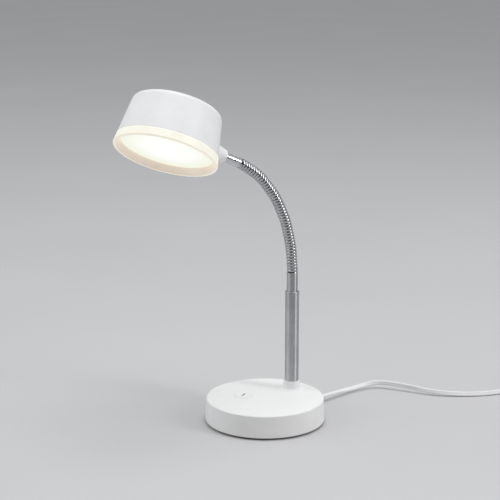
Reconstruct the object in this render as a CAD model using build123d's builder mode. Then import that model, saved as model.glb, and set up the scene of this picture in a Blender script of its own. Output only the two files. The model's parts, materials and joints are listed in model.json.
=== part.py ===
from build123d import *
from math import cos, pi, radians, sin, sqrt, tan
import os

# A gooseneck desk lamp: a weighted round base with a push switch, a short
# straight stem, a flexible wound neck and a shallow drum head that shines down.
# Millimetres, +Z up, the origin on the table under the middle of the base.
# The cord leaves at the back, towards +Y, and the untwisted head faces -Y.

os.makedirs("parts", exist_ok=True)

# Base
base_h = 25.0
base_top_r = 60.0
base_rim_r = 61.0
base_wall = 2.5
base_edge_r = 1.5
rim_edge_r = 0.8
foot_h = 2.2
foot_gap = 1.25
foot_edge_r = 0.5
rim_drop = 0.2
plate_t = 1.5
plate_fit = 0.3
boss_r = 4.0
boss_inset = 9.6
boss_count = 3
boss_angle = 30.0
pilot_r = 1.3
pilot_depth = 10.0
ballast_t = 12.0
ballast_gap = 1.5
ballast_edge = 1.0
pocket_gap = 0.6

# Screws
screw_r = 1.25
screw_hole_r = 1.6
screw_head_r = 2.75
screw_head_t = 1.5
plate_screw_l = 10.0

# Stem
stem_r = 7.2
stem_wall = 1.45
stem_l = 105.3
stem_inset = 22.5
stem_edge = 0.3
ferrule_wall = 1.0
ferrule_shown = 19.7
ferrule_seat = 12.0
collar_h = 10.0
collar_foot_wall = 2.3
collar_top_wall = 0.7
nipple_bore_r = 4.0
nipple_low = 9.0
nipple_high = 15.0
slip_fit = 0.05
hole_fit = 0.15
washer_width = 4.3
washer_t = 1.2
stem_nut_wall = 2.3
stem_nut_t = 5.0

# Push switch
switch_x = -17.0
switch_y = -14.3
button_r = 8.0
button_rise = 0.9
button_t = 5.5
button_edge_r = 0.5
button_travel = 1.8
button_fit = 0.1
plunger_r = 2.0
plunger_l = 3.9
plunger_spare = 1.0
bezel_wall = 0.7
bezel_lip = 0.8
bezel_lip_t = 0.6
bezel_depth = 6.5
switch_body_h = 10.0
plunger_hole_fit = 0.1

# Mains side of the base
cord_d = 5.0
cord_sides = 8
gland_z = 6.2
gland_l = 20.0
gland_r = 4.0
gland_end_wall = 0.5
gland_neck_r = 3.2
gland_flange_r = 4.2
gland_flange_t = 2.0
gland_flange_gap = 0.1
notch_side = 1.8
notch_gap = 3.9
clamp_w = 22.0
clamp_l = 6.0
clamp_h = 7.5
clamp_edge_r = 1.5
clamp_back = 4.0
clamp_screw_x = 7.5
clamp_gap = 0.05
block_w = 20.0
block_l = 12.0
block_h = 9.0
block_ahead = 18.5
block_well_r = 1.8
block_well_depth = 5.0
block_well_x = 5.0
channel_side = 2.0
channel_gap = 5.0
driver_w = 34.0
driver_l = 22.0
driver_h = 12.0
driver_x = 18.0
driver_gap = 5.0
driver_edge_r = 1.5

# Flexible neck
wind_r = 5.6
wind_pitch = 3.09
groove_depth = 1.1
crown_share = 0.6
link_turns = 3
link_gap = 1.35
lead_bore_r = 2.1
nose_r = 2.9
nose_rise = 0.8
seat_r = 3.5
seat_rise = 1.8
root_spigot_l = 12.0
tip_spigot_l = 12.0
front_azimuth = 270.0
neck_azimuth = 248.16
# The hinge order up the neck: F bends over in the neck's plane, S bends sideways.
hinge_order = "FSFFSFFSFFSFFSF"
rest_bends = [4.0, 4.0, 4.4, 5.1, 5.9, 6.4, 7.1, 8.2, 9.6, 11.2]

# Head
head_rim_r = 52.2
head_taper = 0.152
head_h = 51.2
head_wall = 2.2
head_edge_r = 5.4
skirt_h = 8.9
skirt_lip_h = 4.1
skirt_fit = 0.1
skirt_rim_t = 3.4
panel_inset = 1.85
panel_t = 2.0
panel_z = 7.3
panel_ledge = 0.9
nozzle_z = 21.95
nozzle_l = 11.6
sleeve_r = 5.1
sleeve_wall = 0.8
sleeve_shown = 17.2
sleeve_seat = 8.0
nozzle_end_r = 6.5
nozzle_wall_r = 9.5
nozzle_edge = 0.4
stud_r = 6.0
stud_root = 1.0
stud_spare = 0.5
nut_pad_r = 8.8
nut_pad_t = 2.7
nozzle_nut_wall = 1.95
nozzle_nut_t = 3.0
board_z = 30.0
board_t = 1.6
board_gap = 4.0
sink_t = 3.0
sink_inset = 0.5
board_screw_inset = 6.5
board_screw_angle = 60.0
board_screw_l = 10.0
reflector_inset = 1.5
reflector_wall = 1.2
reflector_waist = 14.0
reflector_mouth_inset = 1.8
reflector_gap = 0.3
chip_size = 3.0
chip_t = 0.8
chip_outer_r = 22.0
chip_outer_count = 12
chip_inner_r = 11.0
chip_inner_count = 6

# Cord: points of the stretch that lies free, from the gland to the coil
cord_rest_z = cord_d / 2
cord_points = [
    (0.0, 100.3, gland_z),
    (-2.0, 132.3, 3.4),
    (4.7, 159.9, 7.0),
    (33.4, 173.1, 6.8),
    (66.4, 185.1, 4.2),
    (91.0, 208.7, cord_rest_z),
    (108.1, 235.1, cord_rest_z),
    (115.6, 267.3, cord_rest_z),
    (116.6, 287.9, cord_rest_z),
]
corner_share = 0.45
coil_inner_r = 18.0
coil_pitch = 5.5
coil_turns = 8.0
coil_steps = 4
coil_end = cord_d
tail_run = 20.0
tail_turn = 18.0
plug_w = 34.0
plug_l = 34.0
plug_t = 13.7
plug_back_w = 16.0
plug_shoulder = 20.0
plug_edge_r = 2.5
plug_boot_l = 14.0
plug_boot_r = 4.0
plug_boot_end_wall = 0.5
pin_r = 2.0
pin_l = 19.0
pin_edge_r = 1.2
pin_spacing = 18.6

# Worked out from the sizes above
plate_top = foot_h + plate_t
rim_z = foot_h - rim_drop
under_top = base_h - base_wall
stem_y = base_top_r - stem_inset
stem_bore_r = stem_r - stem_wall
stem_top = base_h + stem_l
ferrule_r = stem_bore_r - slip_fit
ferrule_bore_r = ferrule_r - ferrule_wall
root_spigot_r = ferrule_bore_r - slip_fit
nipple_r = stem_bore_r - slip_fit
switch_floor = base_h - bezel_depth
bezel_bore_r = button_r + button_fit
bezel_neck_r = bezel_bore_r + bezel_wall
cord_r = cord_d / 2


def base_r(z):
    """Outer radius of the base at height z."""
    return base_rim_r + (base_top_r - base_rim_r) * (z - rim_z) / (base_h - rim_z)


def room_r(low, high):
    """Inner radius of the base's wall where it is narrowest between two heights."""
    return min(base_r(low), base_r(high)) - base_wall


boss_ring_r = room_r(foot_h, under_top) - boss_inset
foot_r = boss_ring_r - screw_head_r - foot_gap


def head_r(z):
    """Outer radius of the head at height z above the rim of its skirt."""
    return head_rim_r - head_taper * z


def section_of(frame):
    """The plane for turned outlines: local X is the radius, local Y runs along the frame's axis."""
    return Plane(frame.origin, x_dir=frame.x_dir, z_dir=-frame.y_dir)


def axis_of(frame):
    """The frame's own Z axis."""
    return Axis(frame.origin, frame.z_dir)


def save(piece, label):
    """Names the finished piece and writes it."""
    piece.part.label = label
    export_step(piece.part, f"parts/{label}.step")


# Base shell: a shallow moulded drum, open below, with three screw bosses
with BuildPart() as base_form:
    with BuildSketch(Plane.XZ):
        with BuildLine():
            Polyline((0, base_h), (base_top_r, base_h), (base_rim_r, rim_z), (0, rim_z), close=True)
        make_face()
    revolve(axis=Axis.Z)

switch_spot = (switch_x, switch_y)
rear_plane = Plane(origin=(0, 0, gland_z), x_dir=(1, 0, 0), z_dir=(0, 1, 0))
inner_wall_y = base_r(gland_z) - base_wall

with BuildPart() as base_shell:
    with BuildSketch(Plane.XZ):
        with BuildLine():
            Polyline(
                (0, base_h),
                (base_top_r, base_h),
                (base_rim_r, rim_z),
                (base_rim_r - base_wall, rim_z),
                (base_top_r - base_wall, under_top),
                (0, under_top),
                close=True,
            )
        make_face()
    revolve(axis=Axis.Z)
    round_edges = base_shell.edges().filter_by(GeomType.CIRCLE).group_by(Axis.Z)
    top_edge = round_edges[-1].sort_by(SortBy.RADIUS)[-1]
    rim_edge = round_edges[0].sort_by(SortBy.RADIUS)[-1]
    fillet(top_edge, base_edge_r)
    fillet(rim_edge, rim_edge_r)
    with BuildSketch(Plane.XY.offset(plate_top)):
        with PolarLocations(boss_ring_r, boss_count, start_angle=boss_angle):
            Circle(boss_r)
    extrude(amount=under_top - plate_top)
    with BuildSketch(Plane.XY.offset(plate_top)):
        with PolarLocations(boss_ring_r, boss_count, start_angle=boss_angle):
            Circle(pilot_r)
    extrude(amount=pilot_depth, mode=Mode.SUBTRACT)
    with BuildSketch(Plane.XY.offset(under_top)):
        with Locations((0, stem_y)):
            Circle(nipple_r + hole_fit)
        with Locations(switch_spot):
            Circle(bezel_neck_r + hole_fit)
    extrude(amount=base_wall, mode=Mode.SUBTRACT)
    with BuildSketch(rear_plane.offset(inner_wall_y - base_wall)):
        Circle(gland_neck_r + hole_fit)
    extrude(amount=3 * base_wall, mode=Mode.SUBTRACT)
save(base_shell, "base_shell")

# Base plate: pressed steel, screwed up to the bosses, notched for the gland's flange
plate_r = room_r(foot_h, plate_top) - plate_fit
flange_face_y = room_r(gland_z - gland_flange_r, gland_z + gland_flange_r) - gland_flange_gap
flange_rear_y = flange_face_y - gland_flange_t
notch_y = flange_rear_y - notch_gap
notch_w = 2 * (gland_flange_r + notch_side)
clamp_y = flange_rear_y - clamp_back - clamp_l / 2
clamp_screw_spots = [(-clamp_screw_x, clamp_y), (clamp_screw_x, clamp_y)]
with BuildPart() as base_plate:
    with BuildSketch(Plane.XY.offset(foot_h)):
        Circle(plate_r)
        with Locations((0, notch_y)):
            Rectangle(notch_w, plate_r, align=(Align.CENTER, Align.MIN), mode=Mode.SUBTRACT)
        with PolarLocations(boss_ring_r, boss_count, start_angle=boss_angle):
            Circle(screw_hole_r, mode=Mode.SUBTRACT)
        with Locations(*clamp_screw_spots):
            Circle(pilot_r, mode=Mode.SUBTRACT)
    extrude(amount=plate_t)
save(base_plate, "base_plate")

# Ballast: a cast disc on the plate, cut away round the bosses, switch, driver and mains side
ballast_r = room_r(plate_top, plate_top + ballast_t) - ballast_gap
block_y = stem_y - block_ahead
channel_y = block_y - block_l / 2 - channel_gap
channel_w = clamp_w + 2 * channel_side
driver_y = channel_y - driver_gap - driver_l / 2
with BuildPart() as ballast:
    with BuildSketch(Plane.XY.offset(plate_top)):
        Circle(ballast_r)
        with PolarLocations(boss_ring_r, boss_count, start_angle=boss_angle):
            Circle(boss_r + pocket_gap, mode=Mode.SUBTRACT)
        with Locations(switch_spot):
            Circle(bezel_neck_r + pocket_gap, mode=Mode.SUBTRACT)
        with Locations((driver_x, driver_y)):
            Rectangle(driver_w + 2 * pocket_gap, driver_l + 2 * pocket_gap, mode=Mode.SUBTRACT)
        with Locations((0, channel_y)):
            Rectangle(channel_w, 2 * ballast_r, align=(Align.CENTER, Align.MIN), mode=Mode.SUBTRACT)
    extrude(amount=ballast_t)
    ballast_rims = ballast.edges().filter_by(GeomType.CIRCLE).group_by(Axis.Z)[-1]
    chamfer(ballast_rims.filter_by(lambda edge: edge.radius > ballast_r / 2), ballast_edge)
save(ballast, "ballast")

# Foot pad: a round of rubber stuck under the plate, inside the ring of screws
with BuildPart() as foot_pad:
    with BuildSketch(Plane.XY):
        Circle(foot_r)
    extrude(amount=foot_h)
    fillet(foot_pad.edges().group_by(Axis.Z)[0], foot_edge_r)
save(foot_pad, "foot_pad")

# Screws that hold the plate to the bosses
with BuildPart() as plate_screws:
    with BuildSketch(Plane.XY.offset(foot_h - screw_head_t)):
        with PolarLocations(boss_ring_r, boss_count, start_angle=boss_angle):
            Circle(screw_head_r)
    extrude(amount=screw_head_t)
    with BuildSketch(Plane.XY.offset(foot_h)):
        with PolarLocations(boss_ring_r, boss_count, start_angle=boss_angle):
            Circle(screw_r)
    extrude(amount=plate_screw_l)
save(plate_screws, "plate_screws")

# Stem: a plated tube that stands on the base over a hollow threaded nipple
with BuildPart() as stem_tube:
    with BuildSketch(Plane.XY.offset(base_h)):
        with Locations((0, stem_y)):
            Circle(stem_r)
            Circle(stem_bore_r, mode=Mode.SUBTRACT)
    extrude(amount=stem_l)
    stem_rims = stem_tube.edges().group_by(Axis.Z)[-1]
    chamfer(stem_rims.sort_by(SortBy.RADIUS)[-1], stem_edge)
save(stem_tube, "stem_tube")

# Ferrule: a thinner plated tube, seated in the stem's bore, that carries the neck
with BuildPart() as stem_sleeve:
    with BuildSketch(Plane.XY.offset(stem_top - ferrule_seat)):
        with Locations((0, stem_y)):
            Circle(ferrule_r)
            Circle(ferrule_bore_r, mode=Mode.SUBTRACT)
    extrude(amount=ferrule_seat + ferrule_shown)
save(stem_sleeve, "stem_sleeve")

# Collar: a moulded cone on the base's top round the stem's foot
stem_line = Axis((0, stem_y, 0), (0, 0, 1))
collar_bore_r = stem_r + hole_fit
with BuildPart() as stem_collar:
    with BuildSketch(section_of(Plane(origin=(0, stem_y, base_h)))):
        with BuildLine():
            Polyline(
                (collar_bore_r, 0),
                (stem_r + collar_foot_wall, 0),
                (stem_r + collar_top_wall, collar_h),
                (collar_bore_r, collar_h),
                close=True,
            )
        make_face()
    revolve(axis=stem_line)
save(stem_collar, "stem_collar")

with BuildPart() as stem_nipple:
    with BuildSketch(Plane.XY.offset(under_top - nipple_low)):
        with Locations((0, stem_y)):
            Circle(nipple_r)
            Circle(nipple_bore_r, mode=Mode.SUBTRACT)
    extrude(amount=nipple_low + base_wall + nipple_high)
save(stem_nipple, "stem_nipple")

with BuildPart() as stem_washer:
    with BuildSketch(Plane.XY.offset(under_top - washer_t)):
        with Locations((0, stem_y)):
            Circle(nipple_r + washer_width)
            Circle(nipple_r + hole_fit, mode=Mode.SUBTRACT)
    extrude(amount=washer_t)
save(stem_washer, "stem_washer")

with BuildPart() as stem_nut:
    with BuildSketch(Plane.XY.offset(under_top - washer_t - stem_nut_t)):
        with Locations((0, stem_y)):
            RegularPolygon(nipple_r + stem_nut_wall, 6, major_radius=False)
            Circle(nipple_r + slip_fit, mode=Mode.SUBTRACT)
    extrude(amount=stem_nut_t)
save(stem_nut, "stem_nut")

# Push switch: a bezel pressed into the top, the contact body below it and the button
with BuildPart() as switch_bezel:
    with BuildSketch(Plane.XY.offset(switch_floor)):
        with Locations(switch_spot):
            Circle(bezel_neck_r)
    extrude(amount=bezel_depth)
    with BuildSketch(Plane.XY.offset(base_h)):
        with Locations(switch_spot):
            Circle(bezel_neck_r + bezel_lip)
    extrude(amount=bezel_lip_t)
    with BuildSketch(Plane.XY.offset(switch_floor)):
        with Locations(switch_spot):
            Circle(bezel_bore_r)
    extrude(amount=bezel_depth + bezel_lip_t, mode=Mode.SUBTRACT)
save(switch_bezel, "switch_bezel")

button_top = base_h + button_rise
button_floor = button_top - button_t
with BuildPart() as switch_button:
    with BuildSketch(Plane.XY.offset(button_floor)):
        with Locations(switch_spot):
            Circle(button_r)
    extrude(amount=button_t)
    fillet(switch_button.edges().group_by(Axis.Z)[-1], button_edge_r)
    with BuildSketch(Plane.XY.offset(button_floor)):
        with Locations(switch_spot):
            Circle(plunger_r)
    extrude(amount=-plunger_l)
save(switch_button, "switch_button")

plunger_room = plunger_l - (button_floor - switch_floor) + button_travel + plunger_spare
with BuildPart() as switch_body:
    with BuildSketch(Plane.XY.offset(switch_floor)):
        with Locations(switch_spot):
            Circle(bezel_neck_r)
    extrude(amount=-switch_body_h)
    with BuildSketch(Plane.XY.offset(switch_floor)):
        with Locations(switch_spot):
            Circle(plunger_r + plunger_hole_fit)
    extrude(amount=-plunger_room, mode=Mode.SUBTRACT)
save(switch_body, "switch_body")

# Cord gland: a moulded boot outside, a neck through the wall and a flange inside
gland_end_y = base_r(gland_z) + gland_l
with BuildPart() as cord_gland:
    with BuildSketch(Plane.YZ):
        with BuildLine():
            Polyline(
                (inner_wall_y, gland_z),
                (inner_wall_y, gland_z + gland_r),
                (gland_end_y, gland_z + cord_r + gland_end_wall),
                (gland_end_y, gland_z),
                close=True,
            )
        make_face()
    revolve(axis=Axis((0, 0, gland_z), (0, 1, 0)))
    add(base_form.part, mode=Mode.SUBTRACT)
    with BuildSketch(rear_plane.offset(flange_face_y)):
        Circle(gland_neck_r)
    extrude(amount=gland_end_y - flange_face_y - gland_l / 2)
    with BuildSketch(rear_plane.offset(flange_face_y)):
        Circle(gland_flange_r)
    extrude(amount=-gland_flange_t)
save(cord_gland, "cord_gland")

# Inside the base: the flex to the terminal block, its clamp and the driver
block_rear_y = block_y + block_l / 2
with BuildPart() as cord_inner:
    with BuildSketch(rear_plane.offset(block_rear_y)):
        RegularPolygon(cord_r, cord_sides, rotation=180 / cord_sides)
    extrude(amount=flange_rear_y - block_rear_y)
save(cord_inner, "cord_inner")

clamp_top = plate_top + clamp_h
with BuildPart() as cord_clamp:
    with BuildSketch(Plane.XY.offset(plate_top)):
        with Locations((0, clamp_y)):
            RectangleRounded(clamp_w, clamp_l, clamp_edge_r)
        with Locations(*clamp_screw_spots):
            Circle(screw_hole_r, mode=Mode.SUBTRACT)
    extrude(amount=clamp_h)
    with BuildSketch(rear_plane.offset(clamp_y - clamp_l)):
        Circle(cord_r + clamp_gap)
        Rectangle(cord_d + 2 * clamp_gap, gland_z, align=(Align.CENTER, Align.MIN))
    extrude(amount=2 * clamp_l, mode=Mode.SUBTRACT)
save(cord_clamp, "cord_clamp")

with BuildPart() as clamp_screws:
    with BuildSketch(Plane.XY.offset(clamp_top)):
        with Locations(*clamp_screw_spots):
            Circle(screw_head_r)
    extrude(amount=screw_head_t)
    with BuildSketch(Plane.XY.offset(foot_h)):
        with Locations(*clamp_screw_spots):
            Circle(screw_r)
    extrude(amount=plate_t + clamp_h)
save(clamp_screws, "clamp_screws")

with BuildPart() as terminal_block:
    with BuildSketch(Plane.XY.offset(plate_top)):
        with Locations((0, block_y)):
            Rectangle(block_w, block_l)
    extrude(amount=block_h)
    with BuildSketch(Plane.XY.offset(plate_top + block_h)):
        with Locations((-block_well_x, block_y), (block_well_x, block_y)):
            Circle(block_well_r)
    extrude(amount=-block_well_depth, mode=Mode.SUBTRACT)
save(terminal_block, "terminal_block")

with BuildPart() as driver_case:
    with BuildSketch(Plane.XY.offset(plate_top)):
        with Locations((driver_x, driver_y)):
            RectangleRounded(driver_w, driver_l, driver_edge_r)
    extrude(amount=driver_h)
save(driver_case, "driver_case")

# Neck: hinge points, each stretch straight along the direction that the bends below it give
azimuth = radians(neck_azimuth)
neck_side = Vector(-sin(azimuth), cos(azimuth), 0)
link_l = link_turns * wind_pitch


def neck_frame(origin, bend):
    """A frame on the neck's middle line, Z along the neck where it has bent over by this much."""
    lean = radians(bend)
    along = Vector(cos(azimuth) * sin(lean), sin(azimuth) * sin(lean), cos(lean))
    return Plane(origin, x_dir=neck_side, z_dir=along)


def turn_outline(low, high):
    """Half outline of one turn of the winding between two heights: flank, crown, flank."""
    middle = (low + high) / 2
    crown = crown_share * (high - low) / 2
    return [(wind_r, middle - crown), (wind_r, middle + crown)]


groove_r = wind_r - groove_depth
seat_low = link_gap / 2
seat_outline = [(lead_bore_r, seat_rise), (seat_r, seat_rise), (seat_r, seat_low), (groove_r, seat_low)]


def nose_outline(hinge):
    """Outline of the rounded-off inner layer that reaches past the hinge into the next link's seat."""
    top = hinge + nose_rise
    return [(groove_r, hinge - seat_low), (nose_r, hinge - seat_low), (nose_r, top), (lead_bore_r, top)]


neck_base = Vector(0, stem_y, stem_top + ferrule_shown)
hinge_frames = []
point = neck_base + Vector(0, 0, wind_pitch)
bend = 0.0
bends_left = list(rest_bends)
for kind in hinge_order:
    if kind == "F":
        bend += bends_left.pop(0)
    hinge_frames.append(neck_frame(point, bend))
    point = point + hinge_frames[-1].z_dir * link_l
tip_frame = hinge_frames[-1]
neck_end = tip_frame.origin + tip_frame.z_dir * wind_pitch

root_frame = neck_frame(neck_base, 0.0)
with BuildPart() as neck_root:
    with BuildSketch(section_of(root_frame)):
        with BuildLine():
            Polyline(
                (lead_bore_r, -root_spigot_l),
                (root_spigot_r, -root_spigot_l),
                (root_spigot_r, 0),
                *turn_outline(0, wind_pitch - seat_low),
                *nose_outline(wind_pitch),
                close=True,
            )
        make_face()
    revolve(axis=axis_of(root_frame))
save(neck_root, "neck_root")

turn_l = (link_l - link_gap) / link_turns
link_outline = list(seat_outline)
for turn in range(link_turns):
    turn_low = seat_low + turn * turn_l
    link_outline += turn_outline(turn_low, turn_low + turn_l)
    if turn < link_turns - 1:
        link_outline.append((groove_r, turn_low + turn_l))
link_outline += nose_outline(link_l)

for number, frame in enumerate(hinge_frames[:-1], start=1):
    with BuildPart() as neck_link:
        with BuildSketch(section_of(frame)):
            with BuildLine():
                Polyline(*link_outline, close=True)
            make_face()
        revolve(axis=axis_of(frame))
    save(neck_link, f"neck_link_{number:02d}")

sleeve_bore_r = sleeve_r - sleeve_wall
tip_spigot_r = sleeve_bore_r - slip_fit
with BuildPart() as neck_tip:
    with BuildSketch(section_of(tip_frame)):
        with BuildLine():
            Polyline(
                *seat_outline,
                *turn_outline(seat_low, wind_pitch),
                (tip_spigot_r, wind_pitch),
                (tip_spigot_r, wind_pitch + tip_spigot_l),
                (lead_bore_r, wind_pitch + tip_spigot_l),
                close=True,
            )
        make_face()
    revolve(axis=axis_of(tip_frame))
save(neck_tip, "neck_tip")

# Head frame: origin in the middle of the skirt's rim, Z up through the head, X towards the neck
nozzle_foot = head_r(nozzle_z)
nozzle_end = nozzle_foot + nozzle_l
head_reach = nozzle_end + sleeve_shown
head_twist = radians(front_azimuth - neck_azimuth)
in_plane = tip_frame.z_dir.cross(neck_side) * -1
light_way = in_plane * cos(head_twist) + neck_side * sin(head_twist)
rim_middle = neck_end + tip_frame.z_dir * head_reach + light_way * nozzle_z
head_frame = Plane(rim_middle, x_dir=-tip_frame.z_dir, z_dir=-light_way)
head_section = section_of(head_frame)
head_axis = axis_of(head_frame)
nozzle_axis = Axis(rim_middle + head_frame.z_dir * nozzle_z, head_frame.x_dir)


def across_head(reach):
    """A plane square to the nozzle, this far from the head's axis, facing the neck."""
    middle = nozzle_axis.position + head_frame.x_dir * reach
    return Plane(middle, x_dir=head_frame.y_dir, z_dir=head_frame.x_dir)


with BuildPart() as neck_sleeve:
    sleeve_plane = Plane(neck_end, x_dir=neck_side, z_dir=tip_frame.z_dir)
    with BuildSketch(sleeve_plane):
        Circle(sleeve_r)
        Circle(sleeve_bore_r, mode=Mode.SUBTRACT)
    extrude(amount=sleeve_shown + sleeve_seat)
save(neck_sleeve, "neck_sleeve")

with BuildPart() as head_form:
    with BuildSketch(head_section):
        with BuildLine():
            Polyline((0, 0), (head_r(0), 0), (head_r(head_h), head_h), (0, head_h), close=True)
        make_face()
    revolve(axis=head_axis)

# Nozzle: a moulded cone that carries the sleeve, with a threaded stud through the head's wall
nut_face = nozzle_foot - head_wall - nut_pad_t
stud_end = nut_face - nozzle_nut_t - stud_spare
with BuildPart() as head_nozzle:
    with BuildSketch(head_section):
        with BuildLine():
            Polyline(
                (nut_face, nozzle_z),
                (nut_face, nozzle_z + nozzle_wall_r),
                (nozzle_foot, nozzle_z + nozzle_wall_r),
                (nozzle_end - nozzle_edge, nozzle_z + nozzle_end_r),
                (nozzle_end, nozzle_z + nozzle_end_r - nozzle_edge),
                (nozzle_end, nozzle_z),
                close=True,
            )
        make_face()
    revolve(axis=nozzle_axis)
    add(head_form.part, mode=Mode.SUBTRACT)
    with BuildSketch(across_head(stud_end)):
        Circle(stud_r)
    extrude(amount=nozzle_foot + stud_root - stud_end)
    with BuildSketch(across_head(nozzle_end)):
        Circle(sleeve_r + slip_fit)
    extrude(amount=-sleeve_seat, mode=Mode.SUBTRACT)
    with BuildSketch(across_head(stud_end)):
        Circle(lead_bore_r)
    extrude(amount=nozzle_end - stud_end, mode=Mode.SUBTRACT)
save(head_nozzle, "head_nozzle")

with BuildPart() as nozzle_nut:
    with BuildSketch(across_head(nut_face)):
        RegularPolygon(stud_r + slip_fit + nozzle_nut_wall, 6, major_radius=False)
        Circle(stud_r + slip_fit, mode=Mode.SUBTRACT)
    extrude(amount=-nozzle_nut_t)
save(nozzle_nut, "nozzle_nut")

# Head housing: a moulded cup, thickened to a flat pad behind the nozzle, with three bosses
with BuildPart() as nut_pad:
    with BuildSketch(across_head(nut_face)):
        Circle(nut_pad_r)
    extrude(amount=head_rim_r - nut_face)
    add(head_form.part, mode=Mode.INTERSECT)

inner_top = head_h - head_wall
sink_top = board_z + board_t + sink_t
board_r = stud_end - board_gap
board_screw_ring_r = board_r - board_screw_inset
with BuildPart() as head_housing:
    with BuildSketch(head_section):
        with BuildLine():
            Polyline(
                (0, head_h),
                (head_r(head_h), head_h),
                (head_r(skirt_h), skirt_h),
                (head_r(skirt_h) - head_wall, skirt_h),
                (head_r(inner_top) - head_wall, inner_top),
                (0, inner_top),
                close=True,
            )
        make_face()
    revolve(axis=head_axis)
    rings = head_housing.edges().filter_by(GeomType.CIRCLE)
    top_rings = rings.sort_by_distance(rim_middle + head_frame.z_dir * head_h)
    fillet(top_rings.sort_by(SortBy.RADIUS)[1], head_edge_r)
    add(nut_pad.part)
    with BuildSketch(head_frame.offset(sink_top)):
        with PolarLocations(board_screw_ring_r, boss_count, start_angle=board_screw_angle):
            Circle(boss_r)
    extrude(amount=inner_top - sink_top)
    with BuildSketch(head_frame.offset(sink_top)):
        with PolarLocations(board_screw_ring_r, boss_count, start_angle=board_screw_angle):
            Circle(pilot_r)
    extrude(amount=pilot_depth, mode=Mode.SUBTRACT)
    with BuildSketch(across_head(stud_end)):
        Circle(stud_r + hole_fit)
    extrude(amount=head_rim_r - stud_end, mode=Mode.SUBTRACT)
save(head_housing, "head_housing")

# Diffuser skirt: a translucent ring that plugs into the housing and carries the light panel
lip_top = skirt_h + skirt_lip_h
lip_inset = head_wall + skirt_fit
panel_r = head_r(skirt_h) - head_wall - panel_inset
pocket_r = panel_r + skirt_fit
with BuildPart() as diffuser_skirt:
    with BuildSketch(head_section):
        with BuildLine():
            Polyline(
                (head_r(0), 0),
                (head_r(skirt_h), skirt_h),
                (head_r(skirt_h) - lip_inset, skirt_h),
                (head_r(lip_top) - lip_inset, lip_top),
                (pocket_r, lip_top),
                (pocket_r, panel_z),
                (panel_r - panel_ledge, panel_z),
                (head_r(0) - skirt_rim_t, 0),
                close=True,
            )
        make_face()
    revolve(axis=head_axis)
save(diffuser_skirt, "diffuser_skirt")

with BuildPart() as light_panel:
    with BuildSketch(head_frame.offset(panel_z)):
        Circle(panel_r)
    extrude(amount=panel_t)
save(light_panel, "light_panel")

# Light engine: reflector, board with its chips, heat spreader and screws
mouth_z = panel_z + panel_t + reflector_gap
mouth_r = panel_r - reflector_mouth_inset
reflector_r = board_r - reflector_inset
with BuildPart() as reflector:
    with BuildSketch(head_section):
        with BuildLine():
            Polyline(
                (reflector_r, board_z),
                (reflector_r, reflector_waist),
                (mouth_r, mouth_z),
                (mouth_r - reflector_wall, mouth_z),
                (reflector_r - reflector_wall, reflector_waist - reflector_wall),
                (reflector_r - reflector_wall, board_z),
                close=True,
            )
        make_face()
    revolve(axis=head_axis)
save(reflector, "reflector")

with BuildPart() as led_board:
    with BuildSketch(head_frame.offset(board_z)):
        Circle(board_r)
        with PolarLocations(board_screw_ring_r, boss_count, start_angle=board_screw_angle):
            Circle(screw_hole_r, mode=Mode.SUBTRACT)
    extrude(amount=board_t)
save(led_board, "led_board")

with BuildPart() as led_chips:
    with BuildSketch(head_frame.offset(board_z)):
        with PolarLocations(chip_outer_r, chip_outer_count):
            Rectangle(chip_size, chip_size)
        with PolarLocations(chip_inner_r, chip_inner_count):
            Rectangle(chip_size, chip_size)
    extrude(amount=-chip_t)
save(led_chips, "led_chips")

with BuildPart() as heat_sink:
    with BuildSketch(head_frame.offset(board_z + board_t)):
        Circle(board_r - sink_inset)
        with PolarLocations(board_screw_ring_r, boss_count, start_angle=board_screw_angle):
            Circle(screw_hole_r, mode=Mode.SUBTRACT)
    extrude(amount=sink_t)
save(heat_sink, "heat_sink")

with BuildPart() as board_screws:
    with BuildSketch(head_frame.offset(board_z)):
        with PolarLocations(board_screw_ring_r, boss_count, start_angle=board_screw_angle):
            Circle(screw_head_r)
    extrude(amount=-screw_head_t)
    with BuildSketch(head_frame.offset(board_z)):
        with PolarLocations(board_screw_ring_r, boss_count, start_angle=board_screw_angle):
            Circle(screw_r)
    extrude(amount=board_screw_l)
save(board_screws, "board_screws")

# Cord: straight runs joined by arcs as large as the runs allow


def corner_radii(route):
    """One radius for each inner point: a share of its shorter run, over the tangent of half the turn."""
    radii = []
    for before, corner, after in zip(route, route[1:], route[2:]):
        arriving = corner - before
        leaving = after - corner
        half_turn = radians(arriving.get_angle(leaving)) / 2
        radii.append(corner_share * min(arriving.length, leaving.length) / tan(half_turn))
    return radii


def cord_section(start, way):
    """The plane that a stretch of cord starts on, with one flat of its section downwards."""
    return Plane(start, x_dir=way.cross(Vector(0, 0, 1)), z_dir=way)


free_route = [Vector(0, gland_end_y, gland_z)] + [Vector(*spot) for spot in cord_points]
free_radii = corner_radii(free_route)
print("free cord radii", [round(radius, 1) for radius in free_radii])
with BuildPart() as power_cord:
    with BuildLine():
        free_path = FilletPolyline(*free_route, radius=free_radii)
    with BuildSketch(cord_section(free_path @ 0, free_path % 0)):
        RegularPolygon(cord_r, cord_sides, rotation=180 / cord_sides)
    sweep()
save(power_cord, "power_cord")
print("free cord length", round(free_path.length, 1))

# Coil: in on the lower layer, up where the spiral reverses, and out again on the upper one
half_turns = pi * coil_turns
coil_outer_r = coil_inner_r + coil_pitch * coil_turns / 2
coil_start = free_path @ 1
coil_way = free_path % 1
coil_right = coil_way.cross(Vector(0, 0, 1))
coil_middle = coil_start + coil_way * coil_end + coil_right * coil_outer_r


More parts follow.
